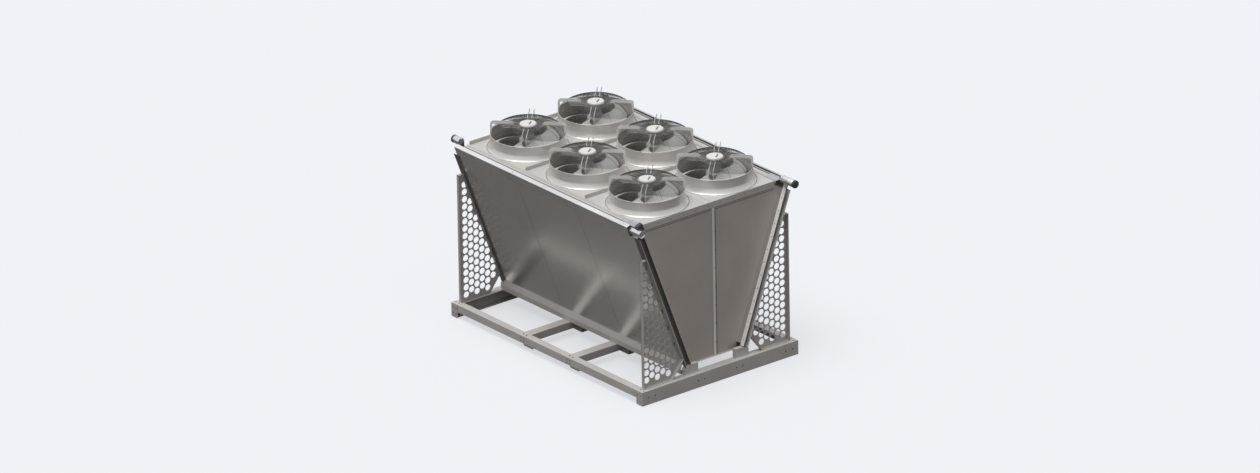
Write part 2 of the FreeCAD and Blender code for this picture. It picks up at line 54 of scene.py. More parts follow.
viewSettings = {
    "right": (0.6307, 0.7760, -0.01557),
    "up": (-0.2954, 0.2585, 0.9198),
    "back": (0.7178, -0.5755, 0.3923),
    "aimRight": 0.05975,        # metres from the origin to the aim, across and up the picture
    "aimUp": 1.1038,
    "pictureWidth": 14.205,     # metres across the frame
    "lens": 600.0,
    "sensor": 36.0,
    "clip": (1.0, 1000.0),
}
lightSettings = {
    "keyFrom": (-0.03, -0.20, 0.98),
    "keyStrength": 2.6,
    "keyAngle": 45.0,           # degrees, a wide soft source
    "skyDiffuse": 0.38,
    "skySeen": "#F4F5F8",
    "floorGlow": "#CBCCD0",     # what the camera always gets from the floor, before the light on it
    "floorSeen": "#858689",
    "floorMirrored": "#6A6866", # the floor as metal and clear surfaces show it
    "floorBounce": "#605E5C",   # the floor as it lights what stands on it
    "floorSize": 60.0,
}


def toLinear(hexColour):
    # sRGB hex to linear light, by the standard's two-part curve.
    parts = np.array([int(hexColour[k:k + 2], 16) for k in (1, 3, 5)]) / 255
    light = np.where(parts <= 0.04045, parts / 12.92, ((parts + 0.055) / 1.055) ** 2.4)
    return (*light.tolist(), 1.0)


def addNode(tree, kind, settings=None, links=None):
    # One node with its properties or socket values, and what feeds its sockets.
    node = tree.nodes.new(kind)
    for name, value in (settings or {}).items():
        if isinstance(name, str) and hasattr(node, name):
            setattr(node, name, value)
        else:
            node.inputs[name].default_value = value
    for name, source in (links or {}).items():
        tree.links.new(source, node.inputs[name])
    return node


def makeCamera(s):
    data = bpy.data.cameras.new("photoView")
    data.lens, data.sensor_width = s["lens"], s["sensor"]
    data.clip_start, data.clip_end = s["clip"]
    right, up, back = (Vector(s[name]).normalized() for name in ("right", "up", "back"))
    distance = s["pictureWidth"] * s["lens"] / s["sensor"]
    place = right * s["aimRight"] + up * s["aimUp"] + back * distance
    turn = Matrix((right, up, back)).transposed().to_4x4()
    camera = bpy.data.objects.new("photoView", data)
    camera.matrix_world = Matrix.Translation(place) @ turn
    bpy.context.scene.collection.objects.link(camera)
    bpy.context.scene.camera = camera


def makeLight(s):
    lamp = bpy.data.lights.new("softKey", "SUN")
    lamp.energy, lamp.angle = s["keyStrength"], math.radians(s["keyAngle"])
    key = bpy.data.objects.new("softKey", lamp)
    key.rotation_euler = Vector(s["keyFrom"]).to_track_quat("Z", "Y").to_euler()
    bpy.context.scene.collection.objects.link(key)
    world = bpy.data.worlds.new("paleRoom")
    world.use_nodes = True
    bpy.context.scene.world = world
    tree = world.node_tree
    tree.nodes.clear()
    seen = seenDirectly(tree)
    dim = addNode(tree, "ShaderNodeBackground", {"Color": (1, 1, 1, 1), "Strength": s["skyDiffuse"]})
    pale = addNode(tree, "ShaderNodeBackground", {"Color": toLinear(s["skySeen"]), "Strength": 1.0})
    both = addNode(tree, "ShaderNodeMixShader", links={0: seen, 1: dim.outputs[0], 2: pale.outputs[0]})
    addNode(tree, "ShaderNodeOutputWorld", links={"Surface": both.outputs[0]})


def seenDirectly(tree):
    # One where the ray comes from the camera or off a glossy or clear surface.
    rays = addNode(tree, "ShaderNodeLightPath")
    first = addNode(tree, "ShaderNodeMath", {"operation": "MAXIMUM"},
                    {0: rays.outputs["Is Camera Ray"], 1: rays.outputs["Is Glossy Ray"]})
    return addNode(tree, "ShaderNodeMath", {"operation": "MAXIMUM"},
                   {0: first.outputs[0], 1: rays.outputs["Is Transmission Ray"]}).outputs[0]


def makeFloor(s):
    half = s["floorSize"] / 2
    mesh = bpy.data.meshes.new("studioFloor")
    corners = [(-half, -half, 0), (half, -half, 0), (half, half, 0), (-half, half, 0)]
    mesh.from_pydata(corners, [], [(0, 1, 2, 3)])
    material = bpy.data.materials.new("paleStudioFloor")
    material.use_nodes = True
    tree = material.node_tree
    tree.nodes.clear()
    direct = addNode(tree, "ShaderNodeLightPath").outputs["Is Camera Ray"]
    dark = addNode(tree, "ShaderNodeBsdfDiffuse", {"Color": toLinear(s["floorBounce"])})
    even = addNode(tree, "ShaderNodeEmission", {"Color": toLinear(s["floorMirrored"]), "Strength": 1.0})
    matt = addNode(tree, "ShaderNodeBsdfDiffuse", {"Color": toLinear(s["floorSeen"])})
    glow = addNode(tree, "ShaderNodeEmission", {"Color": toLinear(s["floorGlow"]), "Strength": 1.0})
    pale = addNode(tree, "ShaderNodeAddShader", links={0: matt.outputs[0], 1: glow.outputs[0]})
    shown = addNode(tree, "ShaderNodeMixShader",
                    links={0: direct, 1: even.outputs[0], 2: pale.outputs[0]})
    both = addNode(tree, "ShaderNodeMixShader",
                   links={0: seenDirectly(tree), 1: dark.outputs[0], 2: shown.outputs[0]})
    addNode(tree, "ShaderNodeOutputMaterial", links={"Surface": both.outputs[0]})
    mesh.materials.append(material)
    floor = bpy.data.objects.new("studioFloor", mesh)
    bpy.context.scene.collection.objects.link(floor)


bpy.context.scene.view_settings.view_transform = "Standard"
makeCamera(viewSettings)
makeLight(lightSettings)
makeFloor(lightSettings)
print("camera, light and floor made")


# Materials

noiseSpan = (0.3, 0.7)      # where nearly all of a noise pattern's values lie
cloudNoise = {"Detail": 3.0, "Roughness": 0.55}
grainNoise = {"Detail": 2.0, "Roughness": 0.5}


def spanned(tree, noise, middle, reach):
    # The noise, stretched to run as far below and above a middle value as its reach says.
    return addNode(tree, "ShaderNodeMapRange", {"From Min": noiseSpan[0], "From Max": noiseSpan[1],
                   "To Min": middle - reach, "To Max": middle + reach}, {"Value": noise.outputs["Fac"]})


def makeFinish(name, s):
    # Base colour with soft clouds of tone, and a fine grain that also lifts the surface; both are
    # drawn out where the settings stretch them. Distances are millimetres, and a thousand over
    # them is the pattern's scale.
    material = bpy.data.materials.new(name)
    material.use_nodes = True
    tree = material.node_tree
    shader = tree.nodes["Principled BSDF"]
    place = addNode(tree, "ShaderNodeTexCoord").outputs["Object"]
    drawn = addNode(tree, "ShaderNodeMapping", {"Scale": s["stretch"]}, {"Vector": place})
    cloud = addNode(tree, "ShaderNodeTexNoise", {"Scale": 1000 / s["cloudMm"], **cloudNoise},
                    {"Vector": drawn.outputs[0]})
    grain = addNode(tree, "ShaderNodeTexNoise", {"Scale": 1000 / s["grainMm"], **grainNoise},
                    {"Vector": drawn.outputs[0]})
    tone = spanned(tree, cloud, 1, s["tone"])
    speck = spanned(tree, grain, 1, s["speck"])
    both = addNode(tree, "ShaderNodeMath", {"operation": "MULTIPLY"},
                   {0: tone.outputs[0], 1: speck.outputs[0]})
    colour = addNode(tree, "ShaderNodeVectorMath", {"operation": "SCALE", 0: toLinear(s["colour"])[:3]},
                     {"Scale": both.outputs[0]})
    rough = spanned(tree, cloud, s["roughness"], s["roughSpread"])
    lift = addNode(tree, "ShaderNodeBump", {"Strength": s["grainStrength"],
                   "Distance": s["grainLiftMm"] / 1000}, {"Height": grain.outputs["Fac"]})
    tree.links.new(colour.outputs[0], shader.inputs["Base Color"])
    tree.links.new(rough.outputs[0], shader.inputs["Roughness"])
    tree.links.new(lift.outputs[0], shader.inputs["Normal"])
    shader.inputs["Metallic"].default_value = s["metallic"]
    return material


# Powder coat on folded steel sheet: even light grey, a soft sheen and a faint orange peel. The
# real peel is 1 to 2 mm, drawn coarser so that it shows.
powderCoat = {"colour": "#BAB8B4", "cloudMm": 420, "tone": 0.035, "grainMm": 9, "speck": 0.015,
              "grainStrength": 0.25, "grainLiftMm": 0.25, "roughness": 0.46, "roughSpread": 0.05,
              "metallic": 0.0, "stretch": (1, 1, 1)}
finishes = {
    # Powder-coated skid base: the same coat, a little warmer and less even in tone, and lighter as
    # painted light for the rails' tops, which lie in the banks' shade.
    "baseCoatWithPaintedLight": {**powderCoat, "colour": "#C0BCB8", "tone": 0.06, "cloudMm": 260},
    # Decks and floor tray: the coat as it is.
    "powderCoatedCasing": powderCoat,
    # End wall sheets: the coat, a little warmer, and darker as painted shade for walls that turn away
    # from the key light between the banks.
    "wallCoatWithPaintedShade": {**powderCoat, "colour": "#B4ACA7", "tone": 0.05},
    # Channels folded over the coil ends: a near matt coat, painted dark as painted shade for the faces
    # that turn down and away from the light and for the channels' hollows.
    "paintedShadeChannel": {**powderCoat, "colour": "#6C6A68", "roughness": 0.55, "tone": 0.07},
    # Plates over the channels' flanges: the same coat, nearly white and a little glossier; painted light
    # on the flange faces that turn up to the light, and painted highlights on the cut ends.
    "paintedLightCoat": {**powderCoat, "colour": "#F0EFEC", "roughness": 0.4},
    # Moulded corner blocks: black polyamide with a fine spark-eroded grain.
    "mouldedPolyamide": {**powderCoat, "colour": "#393937", "grainMm": 5, "speck": 0.05,
                         "grainLiftMm": 0.4, "roughness": 0.5, "tone": 0.04},
    # Drawn stainless pipe: bright, with faint marks along its length.
    "drawnStainless": {"colour": "#D9DADB", "cloudMm": 60, "tone": 0.04, "grainMm": 7, "speck": 0.03,
                       "grainStrength": 0.15, "grainLiftMm": 0.1, "roughness": 0.24,
                       "roughSpread": 0.05, "metallic": 1.0, "stretch": (0.08, 1, 1)},
    # Spun collars: a smooth coat with some metal in it, which catches the light along the flare.
    "spunCollarCoat": {**powderCoat, "colour": "#CFCDC9", "grainMm": 6, "roughness": 0.3,
                       "metallic": 0.35},
    # Motor arms and wall strips' lips: bright galvanised flat steel.
    "galvanisedStrip": {**powderCoat, "colour": "#EAEAE7", "roughness": 0.4, "grainMm": 14,
                        "speck": 0.03, "metallic": 0.1},
    # Guard wires: thin black-coated wire that dulls what is behind it.
    "coatedWire": {**powderCoat, "colour": "#2C2C2B", "roughness": 0.5, "grainMm": 30, "speck": 0.08},
    # Motor housing: die-cast aluminium, painted.
    "castMotorHousing": {**powderCoat, "colour": "#D2D1CE", "grainMm": 4, "speck": 0.03,
                         "grainLiftMm": 0.35, "roughness": 0.5},
    # Rotors: glass-filled polypropylene, light grey with a faint fibre mottle.
    "mouldedBlade": {**powderCoat, "colour": "#D2D2CE", "grainMm": 12, "speck": 0.08,
                     "roughness": 0.5, "grainLiftMm": 0.3},
    # Perforated gussets: the casing's coat.
    "powderCoatedGusset": {**powderCoat, "colour": "#B2AFAC"},
    # Coil faces: bare aluminium fin edges packed 2 mm apart, which read as one satin sheet, drawn
    # out down the slope, that mirrors the pale rails below it as soft patches.
    "satinFins": {**powderCoat, "colour": "#EDEBE8", "cloudMm": 900, "tone": 0.03, "grainMm": 60,
                  "speck": 0.02, "grainStrength": 0.05, "roughness": 0.25, "roughSpread": 0.02,
                  "metallic": 1.0, "stretch": (1, 0.12, 0.12)},
    # Header covers: bright-rolled aluminium sheet.
    "rolledCover": {**powderCoat, "colour": "#DCDCDA", "roughness": 0.32, "metallic": 0.85},
    # Bolts, rivets and screw heads: dark phosphated steel.
    "phosphatedSteel": {**powderCoat, "colour": "#3F3D3B", "metallic": 0.4, "roughness": 0.45},
    # Seals, gaskets and pipe caps: black rubber and polyethylene, matt with a faint bloom. The same
    # black also makes the dark strips and lines that are painted shade and painted shadow.
    "blackRubberAndPaintedShade": {**powderCoat, "colour": "#3A3A3A", "roughness": 0.62, "tone": 0.08},
    # Plates beside the corner blocks: galvanised sheet, a little blue beside the coat.
    "galvanisedPlate": {**powderCoat, "colour": "#A9AEB4", "roughness": 0.4, "metallic": 0.3},
}
made = {name: makeFinish(name, settings) for name, settings in finishes.items()}

nodeFinishes = {
    "baseCoatWithPaintedLight": ["end_sill_near", "end_sill_far", "outer_rail_left", "outer_rail_right",
                         "cross_member_near", "cross_member_far", "skid_feet_near", "skid_feet_far",
                         "inner_rail_left", "inner_rail_right", "foot_brackets_near",
                         "foot_brackets_far"],
    "powderCoatedCasing": ["floor_tray", "fan_deck_near", "fan_deck_middle", "fan_deck_far",
                           "deck_edge_left", "deck_edge_right"],
    "wallCoatWithPaintedShade": ["end_wall_near", "end_wall_far", "end_wall_strips"],
    "paintedShadeChannel": ["end_channels_near", "end_channels_far"],
    "mouldedPolyamide": ["corner_blocks_near", "corner_blocks_far"],
    "drawnStainless": ["pipes_left", "pipes_right"],
    "spunCollarCoat": ["fan_collars"],
    "galvanisedStrip": ["fan_guards"],
    "castMotorHousing": ["fan_motors"],
    "mouldedBlade": [f"fan_rotor_{name}" for name in fanCentres],
    "powderCoatedGusset": ["gusset_near_left", "gusset_near_right", "gusset_far_left",
                           "gusset_far_right"],
    "satinFins": ["coil_left", "coil_right"],
    "rolledCover": ["header_cover_left", "header_cover_right"],
}
for finish, names in nodeFinishes.items():
    for name in names:
        if not nodes[name].material_slots:
            nodes[name].data.materials.append(made[finish])
        for place in nodes[name].material_slots:
            place.material = made[finish]
print("materials made:", len(made))


# Surfaces and pieces

def gridFaces(rows, columns, wrapRows=False, wrapColumns=False):
    # Quads between neighbours of a grid kept row by row; a wrapped way joins its end to its start.
    row, column = np.meshgrid(np.arange(rows - (not wrapRows)),
                              np.arange(columns - (not wrapColumns)), indexing="ij")
    nextRow, nextColumn = (row + 1) % rows, (column + 1) % columns
    corners = (row * columns + column, row * columns + nextColumn,
               nextRow * columns + nextColumn, nextRow * columns + column)
    return np.stack(corners, -1).reshape(-1, 4).tolist()


def lathe(profile, segments, ring=False):
    # Radius times the cosine and sine of even steps round, at each height of the profile.
    profile = np.asarray(profile, float)
    angle = np.arange(segments) * 2 * math.pi / segments
    radius, height = profile[:, :1], profile[:, 1:]
    points = np.stack([radius * np.cos(angle), radius * np.sin(angle), height + 0 * angle], -1)
    faces = gridFaces(len(profile), segments, ring, True)
    if not ring:
        last = (len(profile) - 1) * segments
        faces += [list(range(segments))[::-1], list(range(last, last + segments))]
    return points.reshape(-1, 3), faces


def arc(centreX, centreY, radiusX, radiusY, start, end, steps):
    # Points of a quarter or other part of an ellipse, by degrees.
    angle = np.radians(np.linspace(start, end, steps))
    return np.stack([centreX + radiusX * np.cos(angle), centreY + radiusY * np.sin(angle)], -1)


def sweep(path, section, side):
    # Each point of the section lies across along side and up along side crossed with the path.
    path, section, side = (np.asarray(value, float) for value in (path, section, side))
    run = np.gradient(path, axis=0)
    run /= np.linalg.norm(run, axis=1, keepdims=True)
    up = np.cross(side, run)
    points = (path[:, None] + section[None, :, :1] * side + section[None, :, 1:] * up[:, None])
    faces = gridFaces(len(path), len(section), False, True)
    last = (len(path) - 1) * len(section)
    faces += [list(range(len(section)))[::-1], list(range(last, last + len(section)))]
    return points.reshape(-1, 3), faces


def turned(part, degrees, centre=(0.0, 0.0)):
    # The part turned about the upright axis through the origin, then set on a centre.
    angle = math.radians(degrees)
    turn = np.array([[math.cos(angle), math.sin(angle), 0], [-math.sin(angle), math.cos(angle), 0],
                     [0, 0, 1]])
    return part[0] @ turn + np.array([*centre, 0.0]), part[1]


def joined(parts):
    points, faces, count = [], [], 0
    for some, polygons in parts:
        points.append(some)
        faces += [[corner + count for corner in polygon] for polygon in polygons]
        count += len(some)
    return np.concatenate(points), faces


def onEachFan(part, degrees=0):
    return joined([turned(part, degrees, centre) for centre in fanCentres.values()])


meshSettings = {"mergeWithin": 1e-6, "sharpAbove": 35}      # metres, and degrees between faces


def makePiece(name, part, finish, body=fixedBody, replaced=()):
    # A mesh piece with merged seams, outward faces and smooth shading below the sharp angle.
    mesh = bpy.data.meshes.new(name)
    mesh.from_pydata(part[0].tolist(), [], part[1])
    work = bmesh.new()
    work.from_mesh(mesh)
    bmesh.ops.remove_doubles(work, verts=work.verts, dist=meshSettings["mergeWithin"])
    bmesh.ops.recalc_face_normals(work, faces=work.faces)
    work.to_mesh(mesh)
    work.free()
    mesh.shade_smooth()
    mesh.set_sharp_from_angle(angle=math.radians(meshSettings["sharpAbove"]))
    mesh.materials.append(made[finish])
    piece = bpy.data.objects.new(name, mesh)
    bpy.context.scene.collection.objects.link(piece)
    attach(piece, body)
    if replaced:
        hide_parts(*replaced)


# Fan collars: a straight throat with a flared foot and a rolled rim

collarSettings = {"bore": 0.425, "wall": 0.003, "foot": 2.1043, "flare": 0.039,
                  "flareHeight": 0.062, "flareFullness": 1.35, "flareSteps": 14, "rim": 2.272,
                  "roll": 0.0035, "rollStart": -80, "rollSteps": 8, "segments": 96}


def collarProfile(s):
    # Up the outside: out of the deck along a quarter of a superellipse, which is a straight slope
    # at fullness 1 and an ellipse at 2; then the wall and the rim's roll; down the bore.
    outer = s["bore"] + s["wall"]
    quarter = np.linspace(math.pi / 2, 0, s["flareSteps"])
    power = 2 / s["flareFullness"]
    flare = np.stack([outer + s["flare"] * (1 - np.cos(quarter) ** power),
                      s["foot"] + s["flareHeight"] * (1 - np.sin(quarter) ** power)], -1)
    roll = arc(outer, s["rim"] - s["roll"], s["roll"], s["roll"], s["rollStart"], 90, s["rollSteps"])
    return np.concatenate([[(s["bore"], s["foot"])], flare, roll, [(s["bore"], s["rim"])]])


collar = lathe(collarProfile(collarSettings), collarSettings["segments"], ring=True)
makePiece("fanCollars", onEachFan(collar), "spunCollarCoat", replaced=["fan_collars"])
print("collars made")


# Motors: a flat cap with a rounded edge over a flange, and a neck down to the rotor

motorSettings = {"top": 2.393, "capRadius": 0.097, "capHeight": 0.050, "capEdge": 0.012,
                 "flangeRadius": 0.104, "flangeHeight": 0.025, "flangeEdge": 0.004,
                 "neckRadius": 0.062, "neckHeight": 0.098, "shaftRadius": 0.015,
                 "shaftLow": 2.150, "flangeSteps": 4, "capSteps": 7, "segments": 48}


def motorProfile(s):
    # Up from the shaft's end, out to the neck and the flange, and over the cap's rounded edge.
    flangeTop = s["top"] - s["capHeight"]
    flangeLow = flangeTop - s["flangeHeight"]
    neckLow = flangeLow - s["neckHeight"]
    edge, steps = s["flangeEdge"], s["flangeSteps"]
    low = arc(s["flangeRadius"] - edge, flangeLow + edge, edge, edge, -90, 0, steps)
    high = arc(s["flangeRadius"] - edge, flangeTop - edge, edge, edge, 0, 90, steps)
    cap = arc(s["capRadius"] - s["capEdge"], s["top"] - s["capEdge"], s["capEdge"], s["capEdge"],
              0, 90, s["capSteps"])
    return np.concatenate([[(s["shaftRadius"], s["shaftLow"]), (s["shaftRadius"], neckLow),
                            (s["neckRadius"], neckLow), (s["neckRadius"], flangeLow)],
                           low, high, [(s["capRadius"], flangeTop)], cap])


motor = lathe(motorProfile(motorSettings), motorSettings["segments"])
makePiece("fanMotors", onEachFan(motor), "castMotorHousing", replaced=["fan_motors"])
print("motors made")


# Motor arms: pairs of flat bars from the rim over the fan and down to the motor flange

armSettings = {"rim": 2.2723, "outer": 0.429, "top": 2.401, "bend": 0.034, "knee": 0.190,
               "kneeRadius": 0.03, "drop": 0.073, "hub": 0.1043, "strip": 0.020, "bar": 0.003,
               "barEdge": 0.0006, "pair": 0.054, "bendSteps": 7, "kneeSteps": 4,
               "arms": 4, "turn": 45}


def armPath(s):
    # Side view of a bar's middle line: straight up, round the bend, in, round the knee and down.
    half = s["strip"] / 2
    outer, top = s["outer"] - half, s["top"] - half
    radius = s["bend"] - half
    bend = arc(outer - radius, top - radius, radius, radius, 0, 90, s["bendSteps"])
    slope = math.atan2(s["drop"], s["knee"] - s["hub"])
    reach = s["kneeRadius"] * math.tan(slope / 2)
    knee = arc(s["knee"] + reach, top - s["kneeRadius"], s["kneeRadius"], s["kneeRadius"], 90,
               90 + math.degrees(slope), s["kneeSteps"])
    end = [(s["hub"], top - s["drop"])]
    return np.concatenate([[(outer, s["rim"])], bend, knee, end])


def armBars(s):
    line = armPath(s)
    path = np.stack([line[:, 0], np.zeros(len(line)), line[:, 1]], -1)
    wide, high, cut = s["bar"] / 2, s["strip"] / 2, s["barEdge"]
    section = [(wide - cut, high), (-wide + cut, high), (-wide, high - cut), (-wide, -high + cut),
               (-wide + cut, -high), (wide - cut, -high), (wide, -high + cut), (wide, high - cut)]
    bars = []
    for way in (-1, 1):
        one = sweep(path + [0, way * (s["pair"] - s["bar"]) / 2, 0], section, (0, 1, 0))
        bars += [turned(one, s["turn"] + 360 * k / s["arms"]) for k in range(s["arms"])]
    return joined(bars)


arms = armBars(armSettings)
makePiece("motorArms", onEachFan(arms), "galvanisedStrip", replaced=["fan_guards"])
print("motor arms made")


# Guards: rings of wire under the arms, held by twelve rods

guardSettings = {"firstRing": 0.112, "lastRing": 0.425, "rings": 35, "wire": 0.0016, "height": 2.3775,
                 "shoulder": 0.26, "drop": 0.088, "ringSegments": 48, "rods": 12, "rod": 0.0018,
                 "rodSteps": 9}


def guardHeight(s, radius):
    # Level over the motor, then a dome that falls with the square of the way past its shoulder.
    past = np.clip((radius - s["shoulder"]) / (s["lastRing"] - s["shoulder"]), 0, None)
    return s["height"] - s["drop"] * past ** 2


def guardPart(s):
    # Each ring is a four-sided wire round the axis; each rod a six-sided bar along the dome.
    angle = np.arange(4) * math.pi / 2
    section = s["wire"] * np.stack([np.cos(angle), np.sin(angle)], -1)
    radii = np.linspace(s["firstRing"], s["lastRing"], s["rings"])
    parts = [lathe(section + [radius, height], s["ringSegments"], ring=True)
             for radius, height in zip(radii, guardHeight(s, radii))]
    angle = np.arange(6) * math.pi / 3
    section = s["rod"] * np.stack([np.cos(angle), np.sin(angle)], -1)
    reach = np.linspace(s["firstRing"], s["lastRing"], s["rodSteps"])
    below = s["wire"] + s["rod"]
    path = np.stack([reach, 0 * reach, guardHeight(s, reach) - below], -1)
    rod = sweep(path, section, (0, 1, 0))
    return joined(parts + [turned(rod, 360 * (k + 0.5) / s["rods"]) for k in range(s["rods"])])


guard = guardPart(guardSettings)
makePiece("guardWires", onEachFan(guard), "coatedWire")
print("guards made")


# Rotors: a ribbed hub with five swept blades, each with a saw-toothed trailing edge

rotorSettings = {"phase": 46.0, "hubRadius": 0.104, "hubTop": 2.210, "hubLow": 2.118, "hubEdge": 0.016,
                 "hubLowEdge": 0.006, "axis": 0.0005, "firstGroove": 0.014, "lastGroove": 0.004,
                 "groovePitch": 0.012, "grooveHalf": 0.002, "grooveFloor": 0.001, "grooveDepth": 0.003,
                 "bore": 0.01505, "boreLow": 2.148, "blades": 5, "root": 0.080, "tip": 0.415,
                 "height": 2.168, "stations": (0.0, 0.33, 0.67, 1.0),
                 "chords": (0.124, 0.190, 0.235, 0.250), "pitches": (42.0, 33.0, 26.0, 20.0),
                 "sweeps": (-4.0, 14.0, 33.0, 52.0), "camber": 0.06, "thickness": 0.007,
                 "edgeHalf": 0.0004, "fullness": 0.7, "teeth": 15, "toothDepth": 0.016,
                 "toothStart": 0.18, "toothFade": 0.1, "chordSteps": 12, "hubSteps": 7,
                 "segments": 48}


def hubPart(s):
    # Up the outside from the axis, over the rounded top edge and down the bore.
    radius, top, low = s["hubRadius"], s["hubTop"], s["hubLow"]
    foot = [(s["axis"], low), (radius - s["hubLowEdge"], low), (radius, low + s["hubLowEdge"])]
    # Moulded ribs: shallow rings between grooves, all the way up its side.
    ribs = []
    lastGroove = top - s["hubEdge"] - s["lastGroove"]
    for groove in np.arange(low + s["firstGroove"], lastGroove, s["groovePitch"]):
        ribs += [(radius, groove - s["grooveHalf"]),
                 (radius - s["grooveDepth"], groove - s["grooveFloor"]),
                 (radius - s["grooveDepth"], groove + s["grooveFloor"]),
                 (radius, groove + s["grooveHalf"])]
    edge = arc(radius - s["hubEdge"], top - s["hubEdge"], s["hubEdge"], s["hubEdge"], 0, 90,
               s["hubSteps"]).tolist()
    inside = [(s["bore"], top), (s["bore"], s["boreLow"]), (s["axis"], s["boreLow"])]
    return lathe(foot + ribs + edge + inside, s["segments"], ring=True)


def bladePart(s):
    # A wrapped, cambered wing: share runs from root to tip and along from leading to trailing
    # edge; cubics through the stations give chord, pitch and sweep, and the trailing edge is cut
    # back by a saw wave.
    rows = 2 * s["teeth"] + 1
    share = np.linspace(0, 1, rows)[:, None]
    chord, pitch, sweepAngle = (np.polyval(np.polyfit(s["stations"], s[name], 3), share)
                                for name in ("chords", "pitches", "sweeps"))
    pitch = np.radians(pitch)
    tooth = np.where(np.arange(rows) % 2 == 0, 1.0, 0.0)[:, None] * s["toothDepth"]
    tooth = tooth * np.clip((share - s["toothStart"]) / s["toothFade"], 0, 1)
    across = (1 - np.cos(np.linspace(0, math.pi, s["chordSteps"]))) / 2
    along = -0.5 + across[None, :] * (1 - tooth / chord)
    bow = chord * s["camber"] * (1 - 4 * along ** 2)
    swell = s["thickness"] / 2 * np.sqrt(np.clip(1 - (2 * across - 1) ** 2, 0, 1)) ** s["fullness"]
    reach = s["root"] + share * (s["tip"] - s["root"])
    points = []
    for face in (1, -1):
        rise = bow + face * np.maximum(swell, s["edgeHalf"])[None, :]
        roundAxis = chord * along * np.cos(pitch) - rise * np.sin(pitch)
        height = chord * along * np.sin(pitch) + rise * np.cos(pitch)
        angle = roundAxis / reach + np.radians(sweepAngle)
        points.append(np.stack([reach * np.cos(angle), reach * np.sin(angle), s["height"] + height], -1))
    loop = np.concatenate([points[0], points[1][:, ::-1]], axis=1)
    rows, columns = loop.shape[:2]
    faces = gridFaces(rows, columns, False, True)
    half = columns // 2
    for row in (0, rows - 1):
        start = row * columns
        faces += [[start + k, start + k + 1, start + columns - 2 - k, start + columns - 1 - k]
                  for k in range(half - 1)]
    return loop.reshape(-1, 3), faces


hub, blade = hubPart(rotorSettings), bladePart(rotorSettings)
rotor = joined([hub] + [turned(blade, rotorSettings["phase"] + 360 * k / rotorSettings["blades"])
                        for k in range(rotorSettings["blades"])])
for name, centre in fanCentres.items():
    makePiece(f"rotor_{name}", turned(rotor, 0, centre), "mouldedBlade",
              body=f"rotor_{name}", replaced=[f"fan_rotor_{name}"])
print("rotors made")


# Perforated gussets: a sheet with round holes, its five edges folded outwards, bolted down

gussetSettings = {"panel": (1.612, 1.615), "tip": 1.660, "sheet": 0.003, "outer": 1.055,
                  "bottom": 0.1683, "top": 1.722, "innerDepth": -0.0033, "cutHeight": 0.205,
                  "cutWidth": 0.160, "holeRadius": 0.0375, "holePitch": 0.090,
                  "columnPitch": 0.078, "firstColumn": 0.987, "columns": 6, "bottomMargin": 0.082,
                  "topMargin": 0.060, "edgeMargin": 0.008, "slantMargin": 0.020, "slantGap": 0.001,
                  "foldEdge": 0.0008, "holeSteps": 28, "openSteps": 19}
# The coils' lean from upright, and where their outer faces' top edges are
bank = {"lean": math.radians(20.4), "reach": 1.128, "height": 2.105}


def bankReach(depth, height):
    # How far out a line parallel to the coil's outer face, that deep inside it, is at a height.
    lean = bank["lean"]
    run = (bank["height"] + depth * math.sin(lean) - height) / math.cos(lean)
    return bank["reach"] - depth * math.cos(lean) - run * math.sin(lean)


def gussetHoles(s, corners):
    # Middles of the holes, in staggered columns, where they clear the top and the cut corner.
    low, foot = np.array(corners[3]), np.array(corners[4])
    run = (foot - low) / np.linalg.norm(foot - low)
    middles = []
    for column in range(s["columns"]):
        y = s["firstColumn"] - column * s["columnPitch"]
        z = np.arange(s["bottom"] + s["bottomMargin"] + column % 2 * s["holePitch"] / 2,
                      s["top"] - s["topMargin"], s["holePitch"])
        middles.append(np.stack([np.full(len(z), y), z], -1))
    middles = np.concatenate(middles)
    lean = bank["lean"]
    edge = bankReach(s["innerDepth"], 0) + middles[:, 1] * math.tan(lean)
    slant = (middles[:, 0] - edge) * math.cos(lean)
    corner = (middles[:, 1] - low[1]) * run[0] - (middles[:, 0] - low[0]) * run[1]
    keep = (slant >= s["slantMargin"]) & (corner >= s["holeRadius"] + s["edgeMargin"])
    return middles[keep], slant[keep]


